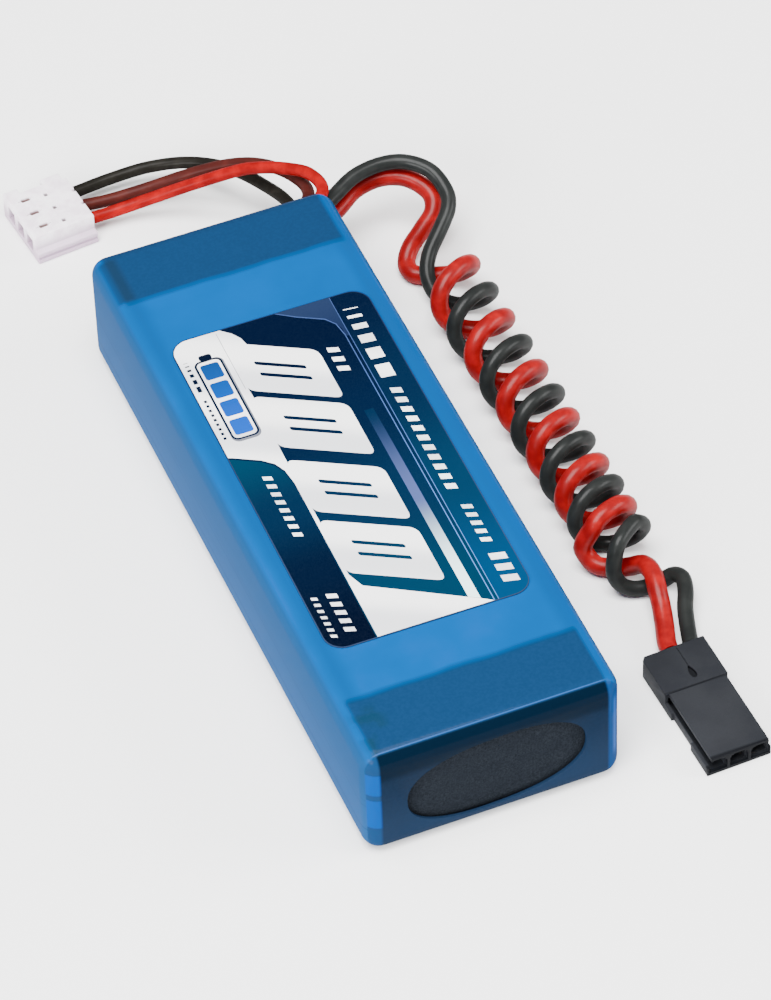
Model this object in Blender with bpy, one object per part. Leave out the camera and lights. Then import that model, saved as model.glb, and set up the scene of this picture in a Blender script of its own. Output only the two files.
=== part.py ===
"""Two-cell lithium polymer receiver pack with a coiled discharge lead and a balance lead.

Metres, +Z up. The origin is the bottom centre of the pack. +Y runs along the pack
towards the end where the wires leave, and the label faces up.
"""

from math import cos, pi, radians, sin

import bpy
from mathutils import Matrix, Vector

MM = 0.001
GAP = 0.3 * MM  # clearance between pieces that touch on the real pack

# Shrink wrap, outside
PACK_W = 30.0 * MM
PACK_L = 84.8 * MM
PACK_H = 15.3 * MM
WRAP_WALL = 0.35 * MM
WRAP_ROUND = 2.05 * MM
FRONT_OPENING = (20.8 * MM, 10.1 * MM)  # width, height
REAR_OPENING = (24.5 * MM, 10.4 * MM)
REAR_OPENING_X = 1.75 * MM
MID_Z = PACK_H / 2

# Label on top of the wrap
LABEL_W = 24.0 * MM
LABEL_L = 51.0 * MM
LABEL_T = 0.15 * MM
LABEL_Y = -0.85 * MM
LABEL_ROUND = 2.2 * MM
LABEL_TURN = radians(-0.7)

# Cells: heights are measured outwards from the plane between the two cells
TAPE_T = 0.2 * MM
COVER_W = 28.0 * MM
COVER_T = 0.2 * MM
FOIL = 0.25 * MM
CUP_W = 27.4 * MM
CUP_TOP = 6.1 * MM
CELL_FRONT = -38.2 * MM
CELL_REAR = 35.0 * MM
SEAL_REAR = 37.8 * MM
TAB_W = 5.0 * MM
TAB_T = 0.2 * MM
TAB_X = 6.0 * MM
TAB_LEG = 3.0 * MM

# End pads of foam, wider than the board and narrower than the wrap
PAD_W = 26.6 * MM
PAD_X = -0.1 * MM
PAD_FLAP = 0.6 * MM
PAD_REACH = 9.0 * MM  # how far a flap runs over the cells from the wrap's end

# Terminal board behind the cells
BOARD_FRONT = 38.9 * MM
BOARD_T = 0.7 * MM
LINK_T = 0.15 * MM

# Leads
RED_D = 2.2 * MM
BLACK_D = 1.85 * MM
SENSE_D = 1.5 * MM
COIL_D = 7.7 * MM
COIL_ENDS = ((26.24, 36.3, 3.86), (27.16, -13.3, 3.86))  # centres of its two end faces, mm

# Servo style plug at the end of the discharge lead
SERVO_W = 7.7 * MM
SERVO_L = 16.6 * MM
SERVO_T = 2.7 * MM
SERVO_AT = (26.78 * MM, -38.1 * MM, 0.0)
SERVO_TURN = radians(1.8)
SERVO_PITCH = 2.54 * MM

# Three way balance plug
BALANCE_L = 7.9 * MM  # along its wires
BALANCE_W = 9.7 * MM
BALANCE_T = 3.6 * MM
BALANCE_AT = (-12.5 * MM, 63.65 * MM, 0.0)
BALANCE_TURN = radians(5.6)
BALANCE_PITCH = 2.5 * MM

# Routes in millimetres, each from the terminal board or coil to the next piece
BLACK_NEAR = [
    (12.2, 40.0, 7.4), (12.25, 42.6, 7.8), (14.4, 45.0, 8.0), (17.5, 46.8, 8.4),
    (20.6, 48.2, 9.1), (24.0, 48.6, 9.4), (27.0, 47.8, 9.4), (29.3, 45.5, 9.0),
    (30.1, 42.7, 7.8), (29.5, 40.7, 7.0), (27.6, 38.8, 5.9), (25.9, 37.4, 4.8),
]  # fmt: skip
RED_NEAR = [
    (10.1, 40.0, 5.2), (10.4, 42.6, 5.3), (13.6, 45.0, 5.4), (17.7, 47.0, 5.7),
    (20.8, 48.7, 6.4), (24.1, 48.9, 6.9), (27.0, 47.6, 6.9), (28.8, 44.9, 6.3),
    (28.4, 42.8, 5.2), (26.4, 41.7, 3.7), (24.6, 40.9, 2.3), (23.5, 39.5, 1.4),
    (23.55, 38.0, 1.17),
]  # fmt: skip
RED_FAR = [
    (25.6, -14.9, 1.15), (27.0, -15.5, 1.25), (28.6, -17.5, 3.0), (28.8, -19.5, 3.5),
    (28.4, -21.7, 3.1), (28.1, -23.4, 2.3), (27.5, -25.6, 1.7), (26.7, -28.0, 1.4),
    (26.51, -29.45, 1.35),
]  # fmt: skip
BLACK_FAR = [
    (27.3, -14.9, 6.7), (26.3, -15.9, 6.1), (25.2, -17.0, 4.4), (25.0, -17.6, 2.9),
    (25.6, -18.2, 1.6), (26.9, -18.8, 1.0), (28.6, -19.1, 0.95), (30.2, -19.0, 1.1),
    (31.5, -19.2, 1.75), (32.0, -20.6, 2.35), (31.5, -22.5, 2.3), (30.5, -24.6, 1.9),
    (29.6, -27.4, 1.45), (29.05, -29.37, 1.35),
]  # fmt: skip
SENSE_ROUTES = {
    "black": [
        (9.3, 40.0, 9.4), (9.6, 43.0, 9.3), (12.3, 48.0, 7.8), (11.5, 55.2, 5.4),
        (9.2, 60.6, 4.2), (5.7, 64.2, 3.4), (1.2, 66.3, 2.6), (-3.7, 66.9, 2.0),
        (-8.5, 66.6, 1.8),
    ],
    "brown": [
        (11.0, 40.0, 10.3), (11.4, 42.8, 10.3), (14.5, 47.4, 9.5), (14.3, 52.7, 8.0),
        (12.0, 56.6, 7.2), (8.9, 59.2, 6.1), (4.5, 61.6, 4.1), (-0.3, 62.9, 2.6),
        (-5.0, 63.5, 2.0), (-8.26, 64.06, 1.8),
    ],
    "red": [
        (12.7, 40.0, 10.7), (12.9, 42.5, 10.9), (15.6, 45.5, 11.2), (15.3, 48.9, 11.0),
        (13.3, 51.5, 10.4), (11.1, 53.8, 9.4), (8.8, 55.9, 8.0), (3.6, 58.9, 5.0),
        (-1.8, 60.9, 2.7), (-5.4, 61.4, 2.0), (-8.02, 61.58, 1.8),
    ],
}  # fmt: skip


def clear_scene():
    for obj in list(bpy.data.objects):
        bpy.data.objects.remove(obj, do_unlink=True)


def material(name, colour, roughness, metallic=0.0, alpha=1.0):
    mat = bpy.data.materials.new(name)
    mat.use_nodes = True
    shader = mat.node_tree.nodes["Principled BSDF"]
    shader.inputs["Base Color"].default_value = (*colour, 1.0)
    shader.inputs["Roughness"].default_value = roughness
    shader.inputs["Metallic"].default_value = metallic
    shader.inputs["Alpha"].default_value = alpha
    mat.diffuse_color = (*colour, alpha)
    return mat


def add_mesh(name, verts, faces, mat):
    mesh = bpy.data.meshes.new(name)
    mesh.from_pydata(verts, [], faces)
    mesh.update()
    obj = bpy.data.objects.new(name, mesh)
    bpy.context.collection.objects.link(obj)
    if mat is not None:
        mesh.materials.append(mat)
    return obj


def prism(name, outline, low, high, mat=None, axis="Z"):
    """A closed prism of a counter-clockwise outline, extruded from low to high along an axis."""
    place = {
        "Z": lambda a, b, h: (a, b, h),
        "Y": lambda a, b, h: (a, -h, b),
        "X": lambda a, b, h: (h, a, b),
    }[axis]
    count = len(outline)
    verts = [place(a, b, low) for a, b in outline] + [place(a, b, high) for a, b in outline]
    sides = [(i, (i + 1) % count, count + (i + 1) % count, count + i) for i in range(count)]
    caps = [tuple(reversed(range(count))), tuple(range(count, 2 * count))]
    return add_mesh(name, verts, sides + caps, mat)


def box(name, xs, ys, zs, mat=None):
    """A closed box between two values on each axis."""
    (x0, x1), (y0, y1), (z0, z1) = xs, ys, zs
    return prism(name, [(x0, y0), (x1, y0), (x1, y1), (x0, y1)], z0, z1, mat)


def rounded(width, height, radius, centre=(0.0, 0.0), steps=5):
    """The outline of a rectangle with round corners, counter-clockwise."""
    outline = []
    for turn, (sx, sy) in enumerate([(1, -1), (1, 1), (-1, 1), (-1, -1)]):
        for step in range(steps + 1):
            angle = pi / 2 * (turn - 1 + step / steps)
            outline.append((
                centre[0] + sx * (width / 2 - radius) + radius * cos(angle),
                centre[1] + sy * (height / 2 - radius) + radius * sin(angle),
            ))  # fmt: skip
    return outline


def bevel(obj, width, segments=2, limit=radians(40)):
    modifier = obj.modifiers.new("edges", "BEVEL")
    modifier.width = width
    modifier.segments = segments
    modifier.limit_method = "ANGLE"
    modifier.angle_limit = limit
    return obj


def combine(obj, tool, operation):
    """Joins or cuts with a tool object, which is left out of the model."""
    tool.hide_render = True
    tool.display_type = "WIRE"
    modifier = obj.modifiers.new(operation.lower(), "BOOLEAN")
    modifier.operation = operation
    modifier.solver = "EXACT"
    modifier.object = tool


def place(objects, location, turn):
    """Turns the objects about Z and moves them, for pieces modelled about their own centre."""
    matrix = Matrix.Translation(Vector(location)) @ Matrix.Rotation(turn, 4, "Z")
    for obj in objects:
        obj.matrix_world = matrix @ obj.matrix_world


def smooth_route(points, spacing):
    """Even points along the Catmull-Rom curve through the route's points, in metres."""
    knots = [Vector(p) * MM for p in points]
    knots = [2 * knots[0] - knots[1], *knots, 2 * knots[-1] - knots[-2]]
    dense = []
    for a, b, c, d in zip(knots, knots[1:], knots[2:], knots[3:]):
        for step in range(16):
            t = step / 16
            dense.append(0.5 * (2 * b + (c - a) * t + (2 * a - 5 * b + 4 * c - d) * t**2
                                + (3 * b - a - 3 * c + d) * t**3))  # fmt: skip
    dense.append(knots[-2])
    travelled = [0.0]
    for a, b in zip(dense, dense[1:]):
        travelled.append(travelled[-1] + (b - a).length)
    count = max(3, round(travelled[-1] / spacing) + 1)
    route = []
    at = 0
    for i in range(count):
        goal = travelled[-1] * i / (count - 1)
        while at < len(dense) - 2 and travelled[at + 1] < goal:
            at += 1
        share = (goal - travelled[at]) / (travelled[at + 1] - travelled[at])
        route.append(dense[at].lerp(dense[at + 1], share))
    return route


def tube(name, route, diameter, mat, sides=2):
    """A cord's plain solid: a round tube with closed ends through the points."""
    curve = bpy.data.curves.new(name, "CURVE")
    curve.dimensions = "3D"
    curve.bevel_depth = diameter / 2
    curve.bevel_resolution = sides
    curve.use_fill_caps = True
    spline = curve.splines.new("POLY")
    spline.points.add(len(route) - 1)
    for point, spot in zip(spline.points, route):
        point.co = (*spot, 1.0)
    curve.materials.append(mat)
    obj = bpy.data.objects.new(name, curve)
    bpy.context.collection.objects.link(obj)
    return obj


def shrink_wrap(mat):
    """The heat shrink sleeve, open in an oval at each end."""
    half_w = PACK_W / 2
    half_l = PACK_L / 2
    wrap = box("shrink_wrap", (-half_w, half_w), (-half_l, half_l), (0, PACK_H), mat)
    bevel(wrap, WRAP_ROUND, 4)
    wall = WRAP_WALL
    hollow = box(
        "wrap_hollow",
        (wall - half_w, half_w - wall),
        (wall - half_l, half_l - wall),
        (wall, PACK_H - wall),
    )
    bevel(hollow, WRAP_ROUND - wall, 4)
    combine(wrap, hollow, "DIFFERENCE")
    front = rounded(*FRONT_OPENING, FRONT_OPENING[1] / 2 - GAP, (0, MID_Z), 6)
    rear = rounded(*REAR_OPENING, 1.6 * MM, (REAR_OPENING_X, MID_Z))
    reach = 5 * wall
    combine(wrap, prism("front_cut", front, half_l - reach, half_l + reach, axis="Y"), "DIFFERENCE")
    combine(wrap, prism("rear_cut", rear, -half_l - reach, reach - half_l, axis="Y"), "DIFFERENCE")


def top_label(mat):
    low = PACK_H + GAP
    label = prism("top_label", rounded(LABEL_W, LABEL_L, LABEL_ROUND), low, low + LABEL_T, mat)
    place([label], (0, LABEL_Y, 0), LABEL_TURN)


def foam_pad(name, end, inner, mat):
    """A strip of foam folded over one end of the cells; end is 1 at the wires, -1 at the front."""
    outer = PACK_L / 2 - WRAP_WALL - GAP
    flap_end = PACK_L / 2 - PAD_REACH
    low = WRAP_WALL + GAP
    high = PACK_H - low
    fold = WRAP_ROUND - WRAP_WALL - GAP
    bend = [(fold * sin(pi / 8 * step), fold * (1 - cos(pi / 8 * step))) for step in range(5)]
    outline = [
        (flap_end, low),
        *((outer - fold + y, low + z) for y, z in bend),
        *((outer - fold + y, high - z) for y, z in reversed(bend)),
        (flap_end, high), (flap_end, high - PAD_FLAP), (inner, high - PAD_FLAP),
        (inner, low + PAD_FLAP), (flap_end, low + PAD_FLAP),
    ]  # fmt: skip
    if end < 0:
        outline = [(-y, z) for y, z in reversed(outline)]
    return prism(name, outline, PAD_X - PAD_W / 2, PAD_X + PAD_W / 2, mat, axis="X")


def foam_pads(mat):
    foam_pad("front_foam_pad", -1, -CELL_FRONT + 0.4 * MM, mat)
    rear = foam_pad("rear_foam_pad", 1, 40.4 * MM, mat)
    notch = box("wire_notch", (7.8 * MM, PACK_W), (39 * MM, PACK_L), (3.2 * MM, 12.6 * MM))
    combine(rear, notch, "DIFFERENCE")


def insulation_tape(mat):
    """Amber tape folded round the seals and the terminal board."""
    left = -14.2 * MM
    right = 13.4 * MM
    low = 1.65 * MM
    high = PACK_H - low
    tape = 0.15 * MM
    outline = [
        (left, low), (right, low), (right, low + tape), (left + tape, low + tape),
        (left + tape, high - tape), (right, high - tape), (right, high), (left, high),
    ]  # fmt: skip
    prism("tab_insulation_tape", outline, -39.9 * MM, -CELL_REAR - GAP, mat, axis="Y")


def outwards(side, near, far):
    """Two heights above or below the plane between the cells, lowest first."""
    return tuple(sorted((MID_Z + side * near, MID_Z + side * far)))


def cell(name, side, positive_x, mats):
    """One pouch cell: deep drawn cup, flat cover, electrode stack and two tabs."""
    half = CUP_W / 2
    rim = 0.9 * MM
    box(f"{name}_pouch_cover", (-COVER_W / 2, COVER_W / 2), (CELL_FRONT, SEAL_REAR),
        outwards(side, 0.4 * MM, 0.4 * MM + COVER_T), mats["foil"])  # fmt: skip
    cup = box(f"{name}_pouch_cup", (-half, half), (CELL_FRONT, CELL_REAR),
              outwards(side, rim, CUP_TOP), mats["foil"])  # fmt: skip
    soften_outside(cup, side, 1.5 * MM)
    terrace = box(f"{name}_terrace", (-half, half), (CELL_REAR - FOIL / 2, SEAL_REAR),
                  outwards(side, 1.4 * MM, 1.4 * MM + FOIL))  # fmt: skip
    combine(cup, terrace, "UNION")
    hollow = box(f"{name}_hollow", (FOIL - half, half - FOIL), (CELL_FRONT + FOIL, CELL_REAR - FOIL),
                 outwards(side, 0.0, CUP_TOP - FOIL))  # fmt: skip
    soften_outside(hollow, side, 1.3 * MM)
    combine(cup, hollow, "DIFFERENCE")
    for tab_x in (-TAB_X, TAB_X):
        reach = TAB_W / 2 + GAP
        slot = box(f"{name}_slot_{tab_x > 0}", (tab_x - reach, tab_x + reach),
                   (CELL_REAR - 2 * FOIL, CELL_REAR + FOIL), outwards(side, 0.0, 1.4 * MM))  # fmt: skip
        combine(cup, slot, "DIFFERENCE")
    stack = box(f"{name}_electrode_stack", (0.35 * MM + FOIL - half, half - FOIL - 0.35 * MM),
                (CELL_FRONT + 2 * FOIL, CELL_REAR - 2 * FOIL - 0.1 * MM),
                outwards(side, rim, CUP_TOP - FOIL - 0.35 * MM), mats["stack"])  # fmt: skip
    soften_outside(stack, side, 1.2 * MM)
    for kind, tab_x in (("positive", positive_x), ("negative", -positive_x)):
        tab(f"{name}_{kind}_tab", side, tab_x, mats[kind])


def soften_outside(obj, side, width):
    """Rounds the four long edges on the face that lies away from the other cell."""
    mesh = obj.data
    weights = mesh.attributes.new("bevel_weight_edge", "FLOAT", "EDGE")
    heights = [side * v.co.z for v in mesh.vertices]
    top = max(heights)
    for edge in mesh.edges:
        if all(abs(heights[v] - top) < MM / 100 for v in edge.vertices):
            weights.data[edge.index].value = 1.0
    modifier = obj.modifiers.new("drawn_edges", "BEVEL")
    modifier.width = width
    modifier.segments = 3
    modifier.limit_method = "WEIGHT"


def tab(name, side, x, mat):
    """A strip out of the cell that folds up against the terminal board."""
    start = CELL_REAR - 2 * FOIL + 0.2 * MM
    end = BOARD_FRONT - 0.35 * MM
    low = 0.9 * MM
    outline = [
        (start, low), (end, low), (end, low + TAB_LEG),
        (end - TAB_T, low + TAB_LEG), (end - TAB_T, low + TAB_T), (start, low + TAB_T),
    ]  # fmt: skip
    outline = [(y, MID_Z + side * z) for y, z in outline]
    if side < 0:
        outline.reverse()
    prism(name, outline, x - TAB_W / 2, x + TAB_W / 2, mat, axis="X")


def connections(board, nickel):
    rear = BOARD_FRONT + BOARD_T
    plate = box("terminal_board", (-11.5 * MM, PAD_X + PAD_W / 2), (BOARD_FRONT, rear),
                (2.4 * MM, PACK_H - 2.4 * MM), board)  # fmt: skip
    bevel(plate, 0.15 * MM, 1)
    reach = TAB_LEG + 0.6 * MM
    box("series_link", (-TAB_X - TAB_W / 2, -TAB_X + TAB_W / 2), (rear + GAP, rear + GAP + LINK_T),
        (MID_Z - reach, MID_Z + reach), nickel)  # fmt: skip


def discharge_lead(red, black):
    tube("discharge_wire_black_near", smooth_route(BLACK_NEAR, 2.3 * BLACK_D), BLACK_D, black)
    tube("discharge_wire_red_near", smooth_route(RED_NEAR, 2.1 * RED_D), RED_D, red)
    ends = [Vector(end) * MM for end in COIL_ENDS]
    middles = [ends[0].lerp(ends[1], share / 3) for share in range(4)]
    tube("discharge_coil", middles, COIL_D, red, 4)
    tube("discharge_wire_red_far", smooth_route(RED_FAR, 1.2 * RED_D), RED_D, red)
    tube("discharge_wire_black_far", smooth_route(BLACK_FAR, 1.5 * BLACK_D), BLACK_D, black)


def balance_lead(colours):
    for name, route in SENSE_ROUTES.items():
        tube(f"balance_wire_{name}", smooth_route(route, 2.5 * SENSE_D), SENSE_D, colours[name])


def contact(name, length, width, height, centre, mat, axis):
    """A box contact with a square mouth for its pin; its mouth faces -axis."""
    wall = 0.3 * MM
    ca, cz = centre
    back, front = length
    sides = ((ca - width / 2, ca + width / 2), (cz - height / 2, cz + height / 2))
    mouth = ((ca + wall - width / 2, ca - wall + width / 2), (cz + wall - height / 2, cz - wall + height / 2))
    deep = front + 0.6 * (back - front)
    if axis == "Y":
        body = box(name, sides[0], (front, back), sides[1], mat)
        cut = box(f"{name}_mouth", mouth[0], (front - wall, deep), mouth[1])
    else:
        body = box(name, (front, back), sides[0], sides[1], mat)
        cut = box(f"{name}_mouth", (front - wall, deep), mouth[0], mouth[1])
    combine(body, cut, "DIFFERENCE")
    return [body, cut]


def servo_plug(plastic, metal):
    """Modelled about its middle: +Y is the wire end, -Y the mating end."""
    half_w = SERVO_W / 2
    half_l = SERVO_L / 2
    step = half_l - 6.1 * MM
    body = box("servo_plug_housing", (-half_w, half_w), (-half_l, half_l), (0, SERVO_T), plastic)
    bevel(body, 0.2 * MM, 1)
    pieces = [body]
    ledge = 1.0 * MM
    inset = 0.45 * MM
    cuts = [
        # ledges beside the front section, and the recess under the left one
        ((-SERVO_W, inset - half_w), (-SERVO_L, step), (ledge, 2 * SERVO_T)),
        ((half_w - inset / 2, SERVO_W), (-SERVO_L, step), (ledge, 2 * SERVO_T)),
        ((-SERVO_W, inset / 2 - half_w), (half_l - 12.4 * MM, half_l - 7.7 * MM), (-ledge, 2 * ledge)),
        # the shallow step between the rear block and the front section
        ((-SERVO_W, SERVO_W), (-SERVO_L, step), (SERVO_T - 0.15 * MM, 2 * SERVO_T)),
    ]
    for number, (xs, ys, zs) in enumerate(cuts):
        cut = box(f"servo_cut_{number}", xs, ys, zs)
        combine(body, cut, "DIFFERENCE")
        pieces.append(cut)
    for way in (-1, 0, 1):
        x = way * SERVO_PITCH
        cut = box(f"servo_way_{way}", (x - 0.95 * MM, x + 0.95 * MM), (-SERVO_L, half_l + MM),
                  (0.55 * MM, 2.05 * MM))  # fmt: skip
        combine(body, cut, "DIFFERENCE")
        pieces.append(cut)
    span = (half_l - 1.2 * MM, 1.2 * MM - half_l)
    for way, wire in ((0, "red"), (1, "black")):
        at = (way * SERVO_PITCH, 1.3 * MM)
        pieces += contact(f"servo_contact_{wire}", span, 1.25 * MM, 0.9 * MM, at, metal, "Y")
    place(pieces, SERVO_AT, SERVO_TURN)


def balance_plug(plastic, metal):
    """Modelled about its middle: +X is the wire end, -X the mating end."""
    half_l = BALANCE_L / 2
    half_w = BALANCE_W / 2
    body = box("balance_plug_housing", (-half_l, half_l), (-half_w, half_w), (0, BALANCE_T), plastic)
    bevel(body, 0.15 * MM, 1)
    pieces = [body]
    ledge = 1.5 * MM
    rail = 0.8 * MM
    cuts = [
        # rail along each side, and the gap between the two ears of the rear one
        ((-BALANCE_L, BALANCE_L), (-BALANCE_W, rail - half_w), (ledge, 2 * BALANCE_T)),
        ((1.9 * MM - half_l, 4.9 * MM - half_l), (half_w - rail, BALANCE_W), (-ledge, 2 * BALANCE_T)),
        ((half_l - 0.5 * MM, BALANCE_L), (half_w - 1.4 * rail, BALANCE_W), (-ledge, 2 * BALANCE_T)),
    ]
    for way in (-1, 0, 1):
        y = way * BALANCE_PITCH
        window = -2.0 * MM
        mark = 0.5 * MM
        cuts += [
            # contact channel, latch window and moulding hole of one way
            ((-BALANCE_L, BALANCE_L), (y - 0.85 * MM, y + 0.85 * MM), (0.9 * MM, 2.7 * MM)),
            ((window - 0.6 * MM, window + 0.6 * MM), (y - 0.4 * MM, y + 0.4 * MM), (2 * MM, 2 * BALANCE_T)),
            ((mark - 0.25 * MM, mark + 0.25 * MM), (y - 0.85 * MM, y - 0.35 * MM), (2 * MM, 2 * BALANCE_T)),
        ]
    for number, (xs, ys, zs) in enumerate(cuts):
        cut = box(f"balance_cut_{number}", xs, ys, zs)
        combine(body, cut, "DIFFERENCE")
        pieces.append(cut)
    span = (half_l - 1.1 * MM, 0.9 * MM - half_l)
    for way, wire in ((1, "black"), (0, "brown"), (-1, "red")):
        at = (way * BALANCE_PITCH, 1.8 * MM)
        pieces += contact(f"balance_contact_{wire}", span, 1.1 * MM, 1.1 * MM, at, metal, "X")
    place(pieces, BALANCE_AT, BALANCE_TURN)


def main():
    clear_scene()
    foam = material("grey_foam", (0.035, 0.04, 0.05), 0.95)
    red = material("red_silicone", (0.62, 0.02, 0.015), 0.4)
    black = material("black_silicone", (0.045, 0.05, 0.05), 0.45)
    brown = material("brown_vinyl", (0.2, 0.045, 0.035), 0.45)
    nickel = material("nickel", (0.62, 0.6, 0.56), 0.3, 1.0)
    tin = material("tinned_contact", (0.72, 0.66, 0.5), 0.3, 1.0)
    cell_mats = {
        "foil": material("pouch_foil", (0.72, 0.74, 0.77), 0.28, 0.9),
        "stack": material("electrode_stack", (0.06, 0.06, 0.065), 0.7),
        "positive": material("aluminium_tab", (0.8, 0.81, 0.83), 0.3, 1.0),
        "negative": nickel,
    }
    shrink_wrap(material("blue_shrink", (0.0, 0.28, 0.62), 0.25, 0.0, 0.6))
    top_label(material("label_print", (0.01, 0.12, 0.3), 0.3))
    foam_pads(foam)
    insulation_tape(material("amber_tape", (0.5, 0.26, 0.05), 0.3))
    box("cell_spacer_tape", (-12 * MM, 12 * MM), (-36 * MM, 34 * MM), outwards(1, -TAPE_T / 2, TAPE_T / 2),
        material("spacer_tape", (0.8, 0.8, 0.78), 0.8))  # fmt: skip
    cell("upper", 1, TAB_X, cell_mats)
    cell("lower", -1, -TAB_X, cell_mats)
    connections(material("board_green", (0.02, 0.18, 0.08), 0.4), nickel)
    discharge_lead(red, black)
    balance_lead({"black": black, "brown": brown, "red": red})
    servo_plug(material("charcoal_plastic", (0.07, 0.08, 0.09), 0.5), tin)
    balance_plug(material("natural_nylon", (0.84, 0.82, 0.83), 0.4), tin)


main()
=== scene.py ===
"""Looks of the two-cell receiver pack: camera and cords first, then film, foam, label, plugs and light."""

from math import cos, pi, radians, sin, sqrt

import bpy
from mathutils import Matrix, Vector, noise
from mathutils.geometry import delaunay_2d_cdt


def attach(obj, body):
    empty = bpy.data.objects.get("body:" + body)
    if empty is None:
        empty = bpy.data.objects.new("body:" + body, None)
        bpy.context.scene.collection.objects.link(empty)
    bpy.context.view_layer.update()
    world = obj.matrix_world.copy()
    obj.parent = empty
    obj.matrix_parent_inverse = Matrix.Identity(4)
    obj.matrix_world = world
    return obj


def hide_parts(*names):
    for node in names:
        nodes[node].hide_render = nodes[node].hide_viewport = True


MM = 0.001
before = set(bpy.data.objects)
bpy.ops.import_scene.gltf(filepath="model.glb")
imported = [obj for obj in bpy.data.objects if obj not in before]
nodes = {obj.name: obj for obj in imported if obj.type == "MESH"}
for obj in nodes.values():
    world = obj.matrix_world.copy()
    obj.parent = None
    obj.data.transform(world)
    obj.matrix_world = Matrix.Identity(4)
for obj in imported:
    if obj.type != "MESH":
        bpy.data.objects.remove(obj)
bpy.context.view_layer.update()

# Sizes of the pack, the label and the plugs, nearly all as in part.py
PACK_W = 30.0 * MM
PACK_L = 84.8 * MM
PACK_H = 15.3 * MM
WALL = 0.35 * MM
FILM_ROUND = 2.1 * MM
MID_Z = PACK_H / 2
FRONT_HOLE = (20.9 * MM, 10.7 * MM)  # width, height
FRONT_HOLE_AT = (0.17 * MM, 7.4 * MM)  # x, z
FRONT_HOLE_TURN = radians(3.0)
REAR_HOLE = (24.5 * MM, 10.4 * MM)
REAR_HOLE_AT = (1.75 * MM, MID_Z)
PAD_SIDES = (-13.4 * MM, 13.2 * MM)  # left and right faces of both foam pads
PAD_FLAP = 0.6 * MM
PAD_REACH = 9.0 * MM  # how far a flap runs over the cells from the film's end
FRONT_FOAM_Y = -33.5 * MM  # where the pads' flaps end under the film, as it shows through
REAR_FOAM_Y = 33.15 * MM
LABEL_W = 24.0 * MM
LABEL_L = 50.9 * MM
LABEL_Y = -0.85 * MM
LABEL_TURN = radians(-0.7)
LABEL_CORNER = 2.3  # corner radius and printed border in millimetres, like the rest of the print
LABEL_BORDER = 0.13
SERVO_W = 7.7 * MM
SERVO_L = 16.6 * MM
SERVO_T = 2.7 * MM
SERVO_PITCH = 2.54 * MM
SERVO_PLACE = Matrix.Translation((26.78 * MM, -38.1 * MM, 0)) @ Matrix.Rotation(radians(1.8), 4, "Z")
BALANCE_L = 7.9 * MM
BALANCE_W = 9.7 * MM
BALANCE_T = 3.6 * MM
BALANCE_PITCH = 2.5 * MM
BALANCE_PLACE = Matrix.Translation((-12.5 * MM, 63.65 * MM, 0)) @ Matrix.Rotation(radians(5.6), 4, "Z")

RED_D = 2.2 * MM
BLACK_D = 1.85 * MM
SENSE_D = 1.5 * MM
ROUTE_STEP = 0.45 * MM  # distance between the points of a wire's curve

# Wire routes in millimetres, from inside the pack to the coil and from the coil to the plug
BLACK_NEAR = [
    (12.2, 40.0, 7.4), (12.25, 42.6, 7.8), (14.4, 45.0, 8.0), (17.5, 46.8, 8.4),
    (20.6, 48.2, 9.1), (24.0, 48.6, 9.4), (27.0, 47.8, 9.4), (29.3, 45.5, 9.0),
    (30.1, 42.7, 7.8), (29.5, 40.7, 7.0), (27.6, 38.8, 5.9), (25.6, 37.1, 4.6),
    (24.5, 35.5, 3.4), (24.3, 33.8, 2.2), (24.9, 32.4, 1.35),
]  # fmt: skip
RED_NEAR = [
    (10.1, 40.0, 5.2), (10.4, 42.6, 5.3), (13.6, 45.0, 5.4), (17.7, 47.0, 5.7),
    (20.8, 48.7, 6.4), (24.1, 48.9, 6.9), (27.0, 47.6, 6.9), (28.8, 44.9, 6.3),
    (28.4, 42.8, 5.2), (26.4, 41.7, 3.7), (24.6, 40.9, 2.3), (23.5, 39.5, 1.4),
    (23.6, 37.9, 1.15), (24.9, 36.9, 1.13),
]  # fmt: skip
RED_FAR = [
    (23.5, -12.3, 3.3), (23.7, -12.9, 2.0), (24.5, -14.1, 1.25), (26.2, -15.1, 1.13),
    (27.6, -15.9, 1.5), (28.6, -17.5, 3.0), (28.8, -19.5, 3.5), (28.4, -21.7, 3.1),
    (28.1, -23.4, 2.3), (27.5, -25.6, 1.7), (26.7, -28.0, 1.4), (26.51, -29.45, 1.35),
]  # fmt: skip
BLACK_FAR = [
    (26.3, -15.9, 6.1), (25.2, -17.0, 4.4), (25.0, -17.6, 2.9), (25.6, -18.2, 1.6),
    (26.9, -18.8, 1.0), (28.6, -19.1, 0.95), (30.2, -19.0, 1.1), (31.5, -19.2, 1.75),
    (32.0, -20.6, 2.35), (31.5, -22.5, 2.3), (30.5, -24.6, 1.9), (29.6, -27.4, 1.45),
    (29.05, -29.37, 1.35),
]  # fmt: skip
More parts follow.
